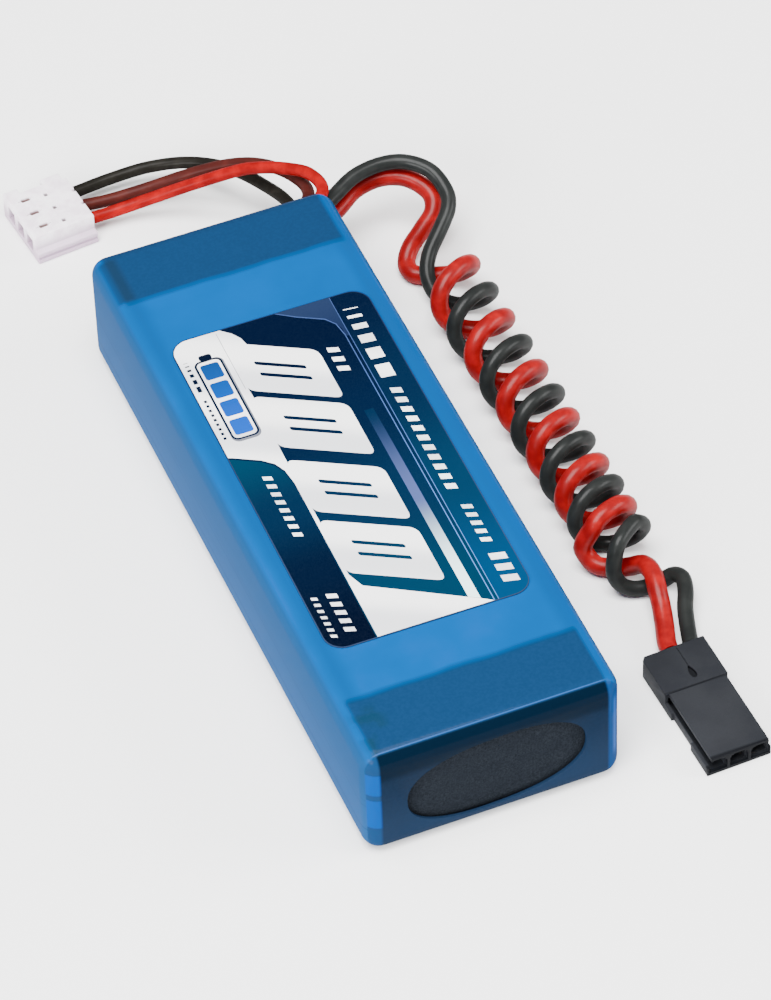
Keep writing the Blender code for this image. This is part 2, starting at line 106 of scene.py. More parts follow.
SENSE_ROUTES = {
    "black": [
        (9.3, 40.0, 9.4), (9.6, 43.0, 9.3), (12.3, 48.0, 7.8), (11.5, 55.2, 5.4),
        (9.2, 60.6, 4.2), (5.7, 64.2, 3.4), (1.2, 66.3, 2.6), (-3.7, 66.9, 2.0),
        (-8.5, 66.6, 1.8),
    ],
    "brown": [
        (11.0, 40.0, 10.3), (11.4, 42.8, 10.3), (14.5, 47.4, 9.5), (14.3, 52.7, 8.0),
        (12.0, 56.6, 7.2), (8.9, 59.2, 6.1), (4.5, 61.6, 4.1), (-0.3, 62.9, 2.6),
        (-5.0, 63.5, 2.0), (-8.26, 64.06, 1.8),
    ],
    "red": [
        (12.7, 40.0, 10.7), (12.9, 42.5, 10.9), (15.6, 45.5, 11.2), (15.3, 48.9, 11.0),
        (13.3, 51.5, 10.4), (11.1, 53.8, 9.4), (8.8, 55.9, 8.0), (3.6, 58.9, 5.0),
        (-1.8, 60.9, 2.7), (-5.4, 61.4, 2.0), (-8.02, 61.58, 1.8),
    ],
}  # fmt: skip

# The coil, in millimetres: half widths of the two wires' turns, how flat the turns are, where the
# axis runs, and the pitch, which shrinks a little from turn to turn
RED_TURN = 3.1
BLACK_TURN = 3.38
COIL_FLAT = 0.845
COIL_X = 26.3
COIL_Z = 3.85
COIL_START = 33.17
COIL_DRIFT = 0.0185
COIL_PITCH = 10.22
COIL_SHRINK = 0.3214
COIL_PHASE = radians(17.7)

# Details that both the shape and the tint of a plug need, measured from the plug's middle
SERVO_STEP = SERVO_L / 2 - 6.1 * MM
DIMPLE_X = 0.35 * MM
WINDOW_X = -2.0 * MM
MARK_X = 0.5 * MM

LIGHT = 5.6  # how much brighter than its own albedo a level white surface is under this light
CURVE_MIDDLE = 0.2167  # brightness that the display shows as half of full, and the curve's power
CURVE_POWER = 1.25

CAMERA_LENS = 205.92
CAMERA_PLACE = (-0.152499, -0.413814, 0.473400)
CAMERA_RIGHT = (0.92395, -0.38154, -0.02716)  # directions of the picture's right and upper sides
CAMERA_UP = (0.29427, 0.66365, 0.68773)


def colour(r, g, b):
    """The albedo that shows as this display colour (0 to 255) on a surface under this light."""
    shares = [min(max(c / 255, 0.002), 0.985) for c in (r, g, b)]
    levels = [CURVE_MIDDLE * (s / (1 - s)) ** CURVE_POWER for s in shares]
    return (*(min(0.9, level / LIGHT) for level in levels), 1.0)


# ---------------------------------------------------------------- geometry helpers


def add_object(name, data):
    obj = bpy.data.objects.new(name, data)
    bpy.context.scene.collection.objects.link(obj)
    return obj


def add_mesh(name, verts, faces):
    mesh = bpy.data.meshes.new(name)
    mesh.from_pydata(verts, [], faces)
    mesh.update()
    return add_object(name, mesh)


def prism(name, outline, low, high, axis="Z"):
    """A closed prism of a counter-clockwise outline between two values along an axis."""
    place = {
        "Z": lambda a, b, h: (a, b, h),
        "Y": lambda a, b, h: (a, -h, b),
        "X": lambda a, b, h: (h, a, b),
    }[axis]
    count = len(outline)
    verts = [place(a, b, low) for a, b in outline] + [place(a, b, high) for a, b in outline]
    sides = [(i, (i + 1) % count, count + (i + 1) % count, count + i) for i in range(count)]
    caps = [tuple(reversed(range(count))), tuple(range(count, 2 * count))]
    return add_mesh(name, verts, sides + caps)


def box(name, xs, ys, zs):
    (x0, x1), (y0, y1), (z0, z1) = xs, ys, zs
    return prism(name, [(x0, y0), (x1, y0), (x1, y1), (x0, y1)], z0, z1)


def rounded(width, height, radius, centre=(0.0, 0.0), steps=8):
    """The outline of a rectangle with round corners, counter-clockwise."""
    outline = []
    for turn, (sx, sy) in enumerate([(1, -1), (1, 1), (-1, 1), (-1, -1)]):
        for step in range(steps + 1):
            angle = pi / 2 * (turn - 1 + step / steps)
            outline.append((
                centre[0] + sx * (width / 2 - radius) + radius * cos(angle),
                centre[1] + sy * (height / 2 - radius) + radius * sin(angle),
            ))  # fmt: skip
    return outline


def bevel(obj, width, segments=3, limit=radians(35)):
    modifier = obj.modifiers.new("edges", "BEVEL")
    modifier.width = width
    modifier.segments = segments
    modifier.limit_method = "ANGLE"
    modifier.angle_limit = limit
    return obj


def apply(obj):
    """Turns an object's modifiers into its mesh."""
    graph = bpy.context.evaluated_depsgraph_get()
    mesh = bpy.data.meshes.new_from_object(obj.evaluated_get(graph))
    obj.modifiers.clear()
    obj.data = mesh
    return obj


def combine(obj, tools, operation="DIFFERENCE"):
    """Cuts with or joins the tools, which are then removed."""
    for tool in tools:
        modifier = obj.modifiers.new(operation, "BOOLEAN")
        modifier.operation = operation
        modifier.solver = "EXACT"
        modifier.object = tool
    apply(obj)
    for tool in tools:
        bpy.data.objects.remove(tool, do_unlink=True)
    return obj


def smooth(obj, angle=35):
    obj.data.shade_smooth()
    obj.data.set_sharp_from_angle(angle=radians(angle))
    return obj


def finish_piece(obj, mat, place=None):
    """Puts a piece in its place, gives it its material and lets it ride on the pack."""
    if place is not None:
        obj.data.transform(place)
    obj.data.materials.clear()
    obj.data.materials.append(mat)
    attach(obj, "root")
    return obj


# ---------------------------------------------------------------- material helpers


class Paint:
    """A procedural material: its methods add nodes and return their output sockets."""

    def __init__(self, name, **inputs):
        self.mat = bpy.data.materials.new(name)
        self.mat.use_nodes = True
        self.tree = self.mat.node_tree
        self.shader = self.tree.nodes["Principled BSDF"]
        for key, value in inputs.items():
            self.shader.inputs[key.replace("_", " ")].default_value = value
        self.place = self.tree.nodes.new("ShaderNodeTexCoord").outputs["Object"]
        parts = self.node("ShaderNodeSeparateXYZ", (self.place,))
        self.x, self.y, self.z = parts.outputs

    def node(self, kind, values=(), **settings):
        node = self.tree.nodes.new(kind)
        for key, value in settings.items():
            setattr(node, key, value)
        for socket, value in zip(node.inputs, values):
            self.fill(socket, value)
        return node

    def fill(self, socket, value):
        if isinstance(value, bpy.types.NodeSocket):
            self.tree.links.new(value, socket)
        elif value is not None:
            socket.default_value = value

    def math(self, operation, a, b=0.0):
        return self.node("ShaderNodeMath", (a, b), operation=operation).outputs[0]

    def ramp(self, value, low, high, to_low=0.0, to_high=1.0):
        """Rises smoothly from to_low at low to to_high at high."""
        values = (value, low, high, to_low, to_high)
        return self.node("ShaderNodeMapRange", values, interpolation_type="SMOOTHSTEP").outputs[0]

    def window(self, value, low, high, soft):
        """1 between low and high, 0 outside, with soft borders."""
        rise = self.ramp(value, low - soft, low + soft)
        fall = self.ramp(value, high - soft, high + soft, 1.0, 0.0)
        return self.math("MULTIPLY", rise, fall)

    def both(self, *masks):
        result = masks[0]
        for mask in masks[1:]:
            result = self.math("MULTIPLY", result, mask)
        return result

    def mix(self, share, a, b):
        node = self.tree.nodes.new("ShaderNodeMix")
        node.data_type = "RGBA"
        self.fill(node.inputs[0], share)
        self.fill(node.inputs[6], a)
        self.fill(node.inputs[7], b)
        return node.outputs[2]

    def stretched(self, x, y, z):
        node = self.tree.nodes.new("ShaderNodeMapping")
        self.fill(node.inputs["Vector"], self.place)
        node.inputs["Scale"].default_value = (x, y, z)
        return node.outputs[0]

    def noise(self, size, detail=2.0, place=None, roughness=0.5):
        """Noise from 0 to 1 whose blotches are about size metres wide."""
        node = self.tree.nodes.new("ShaderNodeTexNoise")
        self.fill(node.inputs["Vector"], place or self.place)
        node.inputs["Scale"].default_value = 1 / size
        node.inputs["Detail"].default_value = detail
        node.inputs["Roughness"].default_value = roughness
        return node.outputs["Fac"]

    def cells(self, size):
        node = self.tree.nodes.new("ShaderNodeTexVoronoi")
        self.fill(node.inputs["Vector"], self.place)
        node.inputs["Scale"].default_value = 1 / size
        return node.outputs["Distance"]

    def base(self, value):
        self.fill(self.shader.inputs["Base Color"], value)

    def rough(self, value):
        self.fill(self.shader.inputs["Roughness"], value)

    def bump(self, height, depth, strength):
        node = self.tree.nodes.new("ShaderNodeBump")
        node.inputs["Strength"].default_value = strength
        node.inputs["Distance"].default_value = depth
        self.fill(node.inputs["Height"], height)
        self.fill(self.shader.inputs["Normal"], node.outputs[0])


# ---------------------------------------------------------------- camera


def camera():
    """A long lens at the front left, looking down on the pack."""
    data = bpy.data.cameras.new("camera")
    data.lens = CAMERA_LENS
    data.sensor_width = 36.0
    data.clip_start = 0.01
    data.clip_end = 20.0
    obj = add_object("camera", data)
    right, up = Vector(CAMERA_RIGHT), Vector(CAMERA_UP)
    back = right.cross(up).normalized()
    turn = Matrix((right, up, back)).transposed().to_4x4()
    obj.matrix_world = Matrix.Translation(CAMERA_PLACE) @ turn
    bpy.context.scene.camera = obj


# ---------------------------------------------------------------- cords


def smooth_route(points, spacing):
    """Even points along the Catmull-Rom curve through a route in millimetres, in metres."""
    knots = [Vector(p) * MM for p in points]
    knots = [2 * knots[0] - knots[1], *knots, 2 * knots[-1] - knots[-2]]
    dense = []
    parts = 12
    for a, b, c, d in zip(knots, knots[1:], knots[2:], knots[3:]):
        for step in range(parts):
            t = step / parts
            dense.append(0.5 * (2 * b + (c - a) * t + (2 * a - 5 * b + 4 * c - d) * t**2
                                + (3 * b - a - 3 * c + d) * t**3))  # fmt: skip
    dense.append(knots[-2])
    travelled = [0.0]
    for a, b in zip(dense, dense[1:]):
        travelled.append(travelled[-1] + (b - a).length)
    count = round(travelled[-1] / spacing) + 1
    route = []
    at = 0
    for i in range(count):
        goal = travelled[-1] * i / (count - 1)
        while at < len(dense) - 2 and travelled[at + 1] < goal:
            at += 1
        share = (goal - travelled[at]) / (travelled[at + 1] - travelled[at])
        route.append(dense[at].lerp(dense[at + 1], share))
    return route


def coil_route(first, last, half_turn, reach):
    """Points of one wire's turns; the two wires lie half a turn apart."""
    points = []
    per_turn = 20
    steps = round((last - first) * per_turn)
    for step in range(steps + 1):
        n = first + (last - first) * step / steps
        angle = COIL_PHASE + 2 * pi * (n - half_turn)
        y = COIL_START - COIL_PITCH * n + COIL_SHRINK * n * n
        middle = COIL_X + (COIL_START - y) * COIL_DRIFT
        points.append((middle + reach * cos(angle), y, COIL_Z + COIL_FLAT * reach * sin(angle)))
    return points


def wire(name, route, diameter, mat):
    curve = bpy.data.curves.new(name, "CURVE")
    curve.dimensions = "3D"
    curve.bevel_depth = diameter / 2
    curve.bevel_resolution = 5
    curve.use_fill_caps = True
    points = smooth_route(route, ROUTE_STEP)
    spline = curve.splines.new("POLY")
    spline.points.add(len(points) - 1)
    for point, spot in zip(spline.points, points):
        point.co = (*spot, 1.0)
    spline.use_smooth = True
    curve.materials.append(mat)
    obj = add_object(name, curve)
    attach(obj, "root")
    length = sum((b - a).length for a, b in zip(points, points[1:]))
    return obj, points[0], length


def silicone(name, tone, dark, light, gloss):
    """Soft insulation: slightly mottled, with a broad satin sheen and a faint dusty bloom."""
    paint = Paint(name, Roughness=0.36, Specular_IOR_Level=0.0, Coat_Weight=gloss, Coat_Roughness=0.28)
    patches = paint.noise(1.6 * MM, 3.0)
    paint.base(paint.mix(paint.ramp(patches, 0.35, 0.7), colour(*dark), colour(*tone)))
    fine = paint.noise(0.16 * MM, 2.0)
    paint.rough(paint.ramp(patches, 0.3, 0.7, 0.34, 0.46))
    paint.bump(fine, 0.012 * MM, 0.5)
    paint.shader.inputs["Sheen Weight"].default_value = 0.02
    paint.shader.inputs["Sheen Roughness"].default_value = 0.4
    paint.shader.inputs["Sheen Tint"].default_value = colour(*light)
    return paint.mat


# ---------------------------------------------------------------- heat shrink film


def film_top(paint):
    """The upper face, with the foam pads, the tape and some glue showing through."""
    x, y = paint.x, paint.y
    mottle = paint.noise(9 * MM, 3.0)
    top = paint.mix(paint.ramp(mottle, 0.3, 0.7), colour(0, 140, 198), colour(0, 146, 203))
    # a darker valley beside each long edge: painted shade, as the film's mesh has no valley there
    left_dip = paint.window(x, -13.6 * MM, -11.9 * MM, 0.9 * MM)
    right_dip = paint.window(x, 12.2 * MM, 13.6 * MM, 0.8 * MM)
    painted_valley_shade = paint.math("ADD", left_dip, right_dip)
    top = paint.mix(paint.math("MULTIPLY", painted_valley_shade, 0.75), top, colour(0, 132, 190))
    # foam behind the film at both ends
    wander = paint.math("MULTIPLY", paint.math("SUBTRACT", paint.noise(5 * MM), 0.5), 0.5 * MM)
    edge_y = paint.math("ADD", y, wander)
    inner_x = paint.window(x, PAD_SIDES[0] - 0.1 * MM, PAD_SIDES[1] + 0.1 * MM, 0.35 * MM)
    front, rear = FRONT_FOAM_Y, REAR_FOAM_Y
    foam_y = paint.math("ADD", paint.ramp(edge_y, front + 0.3 * MM, front - 0.3 * MM),
                        paint.ramp(edge_y, rear - 0.25 * MM, rear + 0.25 * MM))  # fmt: skip
    foam = paint.both(inner_x, foam_y)
    foam_tone = paint.mix(paint.ramp(paint.noise(0.35 * MM, 3.0), 0.3, 0.7), colour(40, 101, 152),
                          colour(46, 107, 158))  # fmt: skip
    front_seam = paint.window(edge_y, front - 0.2 * MM, front + 0.5 * MM, 0.25 * MM)
    rear_seam = paint.window(edge_y, rear - 0.55 * MM, rear + 0.05 * MM, 0.25 * MM)
    seam = paint.both(inner_x, paint.math("ADD", front_seam, rear_seam))
    top = paint.mix(foam, top, foam_tone)
    top = paint.mix(paint.math("MULTIPLY", seam, 0.5), top, colour(0, 98, 150))
    # amber tape folded round the seals at the rear left, and greenish glue at the front left
    tape = paint.both(paint.window(x, -14.3 * MM, -12.2 * MM, 0.5 * MM),
                      paint.window(y, 33.4 * MM, 40.5 * MM, 0.4 * MM))  # fmt: skip
    top = paint.mix(paint.math("MULTIPLY", tape, 0.75), top, colour(48, 88, 124))
    glue = paint.both(paint.window(x, -14.0 * MM, -10.5 * MM, 1.0 * MM),
                      paint.window(y, -42.0 * MM, -35.0 * MM, 1.2 * MM),
                      paint.ramp(paint.noise(2.5 * MM, 3.0), 0.42, 0.62))  # fmt: skip
    top = paint.mix(paint.math("MULTIPLY", glue, 0.45), top, colour(40, 100, 110))
    return top


def film_side(paint, streaks):
    """The long sides: painted reflection of the bright floor makes them paler than the top and palest low
    down, with the cells' seams low on the face.
    """
    z = paint.z
    # paler than the top and paler low down: painted reflection of the bright floor and surroundings
    painted_low_reflection = paint.ramp(z, 12.5 * MM, 2.0 * MM)
    side = paint.mix(painted_low_reflection, colour(40, 130, 182), colour(64, 142, 190))
    side = paint.mix(paint.math("MULTIPLY", paint.ramp(streaks, 0.45, 0.7), 0.2), side, colour(46, 122, 174))
    for height, width, share in ((3.6, 0.12, 0.35), (7.4, 0.1, 0.3), (8.3, 0.08, 0.2)):
        line = paint.window(z, (height - width) * MM, (height + width) * MM, 0.12 * MM)
        side = paint.mix(paint.math("MULTIPLY", line, share), side, colour(40, 104, 158))
    return side


def film_end(paint):
    """The end faces: foam close behind the film, lighter towards the bottom, painted shade darkest under the
    fold, and blue beside the foam.
    """
    x, z = paint.x, paint.z
    depth = paint.ramp(z, 12.6 * MM, 1.5 * MM)
    end = paint.mix(depth, colour(26, 58, 96), colour(50, 84, 124))
    grain = paint.ramp(paint.noise(0.4 * MM, 2.0), 0.3, 0.7)
    end = paint.mix(paint.math("MULTIPLY", grain, 0.08), end, colour(66, 104, 148))
    # painted shade in a dark band just under the fold
    fold = paint.ramp(z, 11.0 * MM, 12.3 * MM)
    end = paint.mix(fold, end, colour(12, 42, 74))
    # beside the foam: the cells' edges at the left, and at the right a pale streak that is painted
    # reflection
    cells = paint.math("ADD", paint.window(z, 4.2 * MM, 8.6 * MM, 0.15 * MM),
                       paint.window(z, 9.5 * MM, 12.7 * MM, 0.15 * MM))  # fmt: skip
    bars = paint.mix(cells, colour(46, 112, 166), colour(0, 128, 200))
    end = paint.mix(paint.ramp(x, -13.1 * MM, -13.5 * MM), end, bars)
    painted_reflection_streak = paint.both(paint.window(x, 13.95 * MM, 14.35 * MM, 0.25 * MM),
                        paint.window(z, 3.8 * MM, 12.6 * MM, 1.0 * MM))  # fmt: skip
    edge = paint.mix(painted_reflection_streak, colour(34, 116, 178), colour(96, 158, 208))
    end = paint.mix(paint.ramp(x, 13.1 * MM, 13.5 * MM), end, edge)
    return end


def film_material():
    """Glossy blue film: what lies under it shows as soft darker and lighter areas, and some highlight,
    reflection and shade at its folds and edges is painted in.
    """
    paint = Paint("blue_shrink_film", Roughness=0.3, Specular_IOR_Level=0.0, Coat_Weight=0.06,
                  Coat_Roughness=0.09, Coat_IOR=1.4)  # fmt: skip
    x, y, z = paint.x, paint.y, paint.z
    streaks = paint.noise(2.2 * MM, 4.0, paint.stretched(1.0, 0.12, 1.0))
    # faces blend where the film bends round the edges
    at_side = paint.math("SUBTRACT", 1.0, paint.window(x, -14.35 * MM, 14.35 * MM, 0.3 * MM))
    at_end = paint.math("SUBTRACT", 1.0, paint.window(y, -41.45 * MM, 41.7 * MM, 0.12 * MM))
    tone = paint.mix(at_side, film_top(paint), film_side(paint, streaks))
    tone = paint.mix(at_end, tone, film_end(paint))
    # painted highlight along the crest of the front fold
    painted_crest_highlight = paint.both(paint.window(y, -41.34 * MM, -41.24 * MM, 0.07 * MM),
                       paint.ramp(z, 14.5 * MM, 14.8 * MM),
                       paint.window(x, -13.6 * MM, 13.2 * MM, 0.5 * MM))  # fmt: skip
    tone = paint.mix(paint.math("MULTIPLY", painted_crest_highlight, 0.7), tone, colour(104, 166, 210))
    paint.base(tone)
    paint.rough(paint.ramp(paint.noise(3 * MM, 2.0), 0.3, 0.7, 0.26, 0.36))
    waves = paint.math("ADD", paint.math("MULTIPLY", streaks, 0.5), paint.noise(7 * MM, 2.0))
    paint.bump(waves, 0.10 * MM, 0.35)
    return paint.mat


def oval(width, height, turn, centre, power=2.35, steps=96):
    """A superellipse, counter-clockwise: rounder than a stadium and fuller than an ellipse."""
    outline = []
    for step in range(steps):
        angle = 2 * pi * step / steps
        a = abs(cos(angle)) ** (2 / power) * (1 if cos(angle) >= 0 else -1) * width / 2
        b = abs(sin(angle)) ** (2 / power) * (1 if sin(angle) >= 0 else -1) * height / 2
        outline.append((
            centre[0] + a * cos(turn) - b * sin(turn),
            centre[1] + a * sin(turn) + b * cos(turn),
        ))  # fmt: skip
    return outline


def shrink_film(mat):
    half_w, half_l = PACK_W / 2, PACK_L / 2
    film = bevel(box("shrink_film", (-half_w, half_w), (-half_l, half_l), (0, PACK_H)), FILM_ROUND, 8)
    apply(film)
    hollow = box("film_hollow", (WALL - half_w, half_w - WALL), (WALL - half_l, half_l - WALL),
                 (WALL, PACK_H - WALL))  # fmt: skip
    apply(bevel(hollow, FILM_ROUND - WALL, 8))
    reach = 5 * WALL
    front = prism("front_opening", oval(*FRONT_HOLE, FRONT_HOLE_TURN, FRONT_HOLE_AT),
                  half_l - reach, half_l + reach, "Y")  # fmt: skip
    rear = prism("rear_opening", rounded(*REAR_HOLE, 1.9 * MM, REAR_HOLE_AT),
                 -half_l - reach, reach - half_l, "Y")  # fmt: skip
    combine(film, [hollow, front, rear])
    apply(bevel(film, 0.07 * MM, 2, radians(60)))
    smooth(film, 40)
    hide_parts("shrink_wrap")
    finish_piece(film, mat)


# ---------------------------------------------------------------- foam


def foam_material():
    paint = Paint("foam", Roughness=0.95, Specular_IOR_Level=0.0)
    fine = paint.noise(0.22 * MM, 4.0, roughness=0.7)
    broad = paint.noise(1.8 * MM, 3.0)
    pores = paint.cells(0.3 * MM)
    tone = paint.mix(paint.ramp(fine, 0.35, 0.65), colour(52, 60, 70), colour(80, 88, 100))
    tone = paint.mix(paint.math("MULTIPLY", paint.ramp(broad, 0.35, 0.7), 0.35), tone, colour(58, 66, 78))
    paint.base(tone)
    height = paint.math("ADD", paint.math("MULTIPLY", pores, 0.7), fine)
    paint.bump(height, 0.12 * MM, 0.7)
    return paint.mat


def foam_pad(name, node, end, inner, mat, notch=None):
    """Foam folded over one end; its skin is pitted, and it swells a little into the opening."""
    gap = 0.3 * MM
    outer = PACK_L / 2 - WALL - gap
    flap_end = PACK_L / 2 - PAD_REACH
    low, high = WALL + gap, PACK_H - WALL - gap
    fold = 1.4 * MM
    bend = [(fold * sin(pi / 8 * step), fold * (1 - cos(pi / 8 * step))) for step in range(5)]
    outline = [
        (flap_end, low),
        *((outer - fold + y, low + z) for y, z in bend),
        *((outer - fold + y, high - z) for y, z in reversed(bend)),
        (flap_end, high), (flap_end, high - PAD_FLAP), (inner, high - PAD_FLAP),
        (inner, low + PAD_FLAP), (flap_end, low + PAD_FLAP),
    ]  # fmt: skip
    if end < 0:
        outline = [(-y, z) for y, z in reversed(outline)]
    pad = prism(name, outline, *PAD_SIDES, "X")
    if notch:
        combine(pad, [box("notch", *notch)])
    remesh = pad.modifiers.new("even", "REMESH")
    remesh.mode = "VOXEL"
    remesh.voxel_size = 0.26 * MM
    soften = pad.modifiers.new("soften", "SMOOTH")
    soften.factor = 0.5
    soften.iterations = 2
    apply(pad)
    mesh = pad.data
    pit_size, pit_depth = 0.45 * MM, 0.035 * MM
    swell, swell_x, swell_z = 0.35 * MM, 11 * MM, 5.6 * MM
    normals = [v.normal.copy() for v in mesh.vertices]
    for vertex, normal in zip(mesh.vertices, normals):
        pit = noise.noise(vertex.co / pit_size) * pit_depth
        facing = max(0.0, end * normal.y)
        near_x = max(0.0, 1 - (vertex.co.x / swell_x) ** 2)
        near_z = max(0.0, 1 - ((vertex.co.z - MID_Z) / swell_z) ** 2)
        vertex.co += normal * pit + Vector((0, end * facing * near_x * near_z * swell, 0))
    mesh.shade_smooth()
    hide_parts(node)
    finish_piece(pad, mat)


# ---------------------------------------------------------------- label


def round_corners(corners, radius, steps=5):
    """Rounds each corner of a counter-clockwise polygon with a short curve."""
    outline = []
    count = len(corners)
    for i, here in enumerate(corners):
        here = Vector(here)
        before = Vector(corners[i - 1]) - here
        after = Vector(corners[(i + 1) % count]) - here
        size = min(radius, 0.45 * before.length, 0.45 * after.length)
        a = here + before.normalized() * size
        b = here + after.normalized() * size
        for step in range(steps + 1):
            t = step / steps
            spot = (1 - t) ** 2 * a + 2 * t * (1 - t) * here + t * t * b
            outline.append((spot.x, spot.y))
    return outline


def slanted(x0, x1, y_top, height, lean=-0.56, corner=1.1):
    """A slanted block with round corners: x0 to x1, its top edge falling by lean."""
    corners = [
        (x0, y_top - height), (x1, y_top - height + lean * (x1 - x0)),
        (x1, y_top + lean * (x1 - x0)), (x0, y_top),
    ]  # fmt: skip
    return round_corners(corners, corner)


def bar(x0, x1, y0, y1, lean=0.0):
    """A thin slanted bar, for the rows of marks."""
    low, high = min(y0, y1), max(y0, y1)
    fall = lean * (x1 - x0)
    return [(x0, low), (x1, low + fall), (x1, high + fall), (x0, high)]


def label_art():
    """The print as (layer, outline) pairs from the ground up, in millimetres about the label's middle."""
    half_w, half_l = LABEL_W / MM / 2, LABEL_L / MM / 2
    inside_w, inside_l = half_w - LABEL_BORDER, half_l - LABEL_BORDER
    art = [("edge", rounded(2 * half_w, 2 * half_l, LABEL_CORNER))]
    art.append(("ground", rounded(2 * inside_w, 2 * inside_l, LABEL_CORNER - LABEL_BORDER)))
    # strip along the right side, and the slate field beside it at the top
    strip = [(7.7, -inside_l), (inside_w, -inside_l), (inside_w, inside_l), (7.7, inside_l)]
    art.append(("strip", clip_corners(strip, inside_w, inside_l)))
    art.append(("slate", [
        (1.2, inside_l), (2.0, 24.7), (3.2, 23.9), (4.6, 23.2), (6.0, 22.35), (6.8, 21.4),
        (7.25, 20.2), (7.25, 18.8), (7.7, 18.8), (7.7, inside_l),
    ]))  # fmt: skip
    # white field at the upper left, the rail under the blocks and the wedge at the foot
    white = [
        (-6.45, -inside_l), (7.15, -inside_l), (5.95, -24.5), (4.75, -23.8), (-5.2, -17.7), (-6.0, -15.6),
        (-6.05, 4.2), (-5.9, 14.2), (-6.0, 15.9), (-3.5, 17.4), (-3.6, 21.9), (-3.9, 23.2),
        (-4.6, 24.3), (-5.7, inside_l), (-inside_w, inside_l), (-inside_w, 6.1), (-11.4, 5.9),
        (-8.6, 4.3), (-7.4, 3.2), (-6.75, 1.8), (-6.45, -0.4),
    ]  # fmt: skip
    art.append(("white", clip_corners(white, inside_w, inside_l)))
    art.append(("panel", clip_corners([
        (-inside_w, -inside_l), (-6.6, -inside_l), (-6.6, -0.5), (-6.9, 1.6), (-7.6, 3.0),
        (-8.7, 4.05), (-11.4, 5.6), (-inside_w, 5.75),
    ], inside_w, inside_l)))  # fmt: skip
    # four white slanted blocks in a row, each with two slits
    for top, height in ((23.4, 8.3), (14.1, 8.6), (3.35, 8.6), (-6.65, 8.6)):
        art.append(("white", slanted(-6.1, 3.5, top, height)))
        for drop in (3.05, 4.95):
            art.append(("ground", slanted(-3.9, 1.3, top - drop - 1.15, 0.62, -0.56, 0.3)))
    art.append(("stripe", [(4.75, -23.75), (5.95, -24.45), (5.85, 7.0), (4.75, 7.0)]))
    # thin double line along the right strip, and one beside the white field
    art.append(("line", [
        (7.15, -inside_l), (7.27, -inside_l), (7.27, 19.1), (6.95, 21.1), (6.05, 22.35),
        (3.2, 23.95), (1.2, inside_l), (1.0, inside_l), (3.1, 23.83), (5.95, 22.22),
        (6.82, 21.05), (7.15, 19.05),
    ]))  # fmt: skip
    art.append(("line", bar(7.65, 7.74, -inside_l, inside_l)))
    art.append(("hair", bar(-6.28, -6.22, 15.4, inside_l - 0.3)))
    # a row of marks that grow down the strip
    at = 22.9
    for size in (0.12, 0.45, 0.85, 1.3, 1.75, 2.15):
        art.append(("white", bar(8.45, 10.15, at - size, at, -0.12)))
        at -= size + 1.05
    # rows of equal marks: how many, top of the first, pitch, left, right, height, lean
    rows = [
        (11, 9.2, 1.62, 8.7, 9.9, 0.85, -0.35),
        (5, -10.7, 1.35, 9.2, 10.35, 0.62, -0.35),
        (3, -18.7, 1.75, 9.15, 10.95, 1.0, -0.25),
        (3, 17.9, 1.6, 4.45, 5.75, 0.75, -0.3),
        (8, 1.9, 1.32, -9.45, -8.45, 0.6, -0.35),
        (5, -17.3, 1.32, -9.4, -8.25, 0.65, -0.35),
        (7, -17.2, 0.98, -11.1, -10.45, 0.42, -0.35),
    ]
    for count, first, pitch, left, right, height, lean in rows:
        for step in range(count):
            y = first - pitch * step
            art.append(("white", bar(left, right, y - height, y, lean)))
    # navy scale down the left side: growing marks, then equal ones
    at = 21.9
    for size in (0.08, 0.2, 0.35, 0.55, 0.75, 0.95):
        art.append(("navy", bar(-11.35, -10.85, at - size, at)))
        at -= size + 0.42
    for step in range(9):
        art.append(("navy", bar(-11.3, -10.95, 15.1 - 0.78 * step, 15.5 - 0.78 * step)))
    # a plain battery sign: an outline with a terminal and four charge bars
    sign_x, sign_y = -8.72, 14.9
    art.append(("shade", rounded(3.5, 13.6, 0.9, (sign_x + 0.06, sign_y - 0.15))))
    art.append(("navy", rounded(3.3, 13.2, 0.8, (sign_x, sign_y))))
    art.append(("navy", rounded(1.5, 0.9, 0.3, (sign_x, sign_y + 7.0))))
    art.append(("white", rounded(2.8, 12.7, 0.6, (sign_x, sign_y))))
    for step in range(4):
        art.append(("sign", rounded(2.2, 2.5, 0.35, (sign_x, sign_y + 3.1 * (step - 1.5)))))
    return art


def clip_corners(outline, half_w, half_l, steps=8):
    """Pulls points that lie in the label's corners onto the corner's arc."""
    radius = LABEL_CORNER - LABEL_BORDER
    result = []
    for x, y in outline:
        if abs(x) > half_w - 1e-6 and abs(y) > half_l - 1e-6:
            sx, sy = (1 if x > 0 else -1), (1 if y > 0 else -1)
            arc = []
            for step in range(steps + 1):
                angle = pi / 2 * step / steps
                arc.append((
                    sx * (half_w - radius + radius * cos(angle)),
                    sy * (half_l - radius + radius * sin(angle)),
                ))  # fmt: skip
            result += arc if sx * sy > 0 else arc[::-1]
        else:
            result.append((x, y))
    return result


def print_material(name, tones, low, high, rough=0.3):
    """Printed film: the colour runs from tones[0] at low to tones[-1] at high along the label."""
    paint = Paint("print_" + name, Roughness=rough, Specular_IOR_Level=0.0, Coat_Weight=0.05,
                  Coat_Roughness=0.12)  # fmt: skip
    tone = colour(*tones[0])
    count = len(tones) - 1
    for i in range(count):
        a = low + (high - low) * i / count
        b = low + (high - low) * (i + 1) / count
        tone = paint.mix(paint.ramp(paint.y, a * MM, b * MM), tone, colour(*tones[i + 1]))
    dots = paint.ramp(paint.noise(0.12 * MM, 1.0), 0.35, 0.65, 0.0, 0.06)
    paint.base(paint.mix(dots, tone, colour(120, 140, 160)))
    paint.rough(paint.ramp(paint.noise(4 * MM, 2.0), 0.3, 0.7, rough - 0.03, rough + 0.06))
    paint.bump(paint.noise(5 * MM, 2.0), 0.03 * MM, 0.3)
    return paint.mat


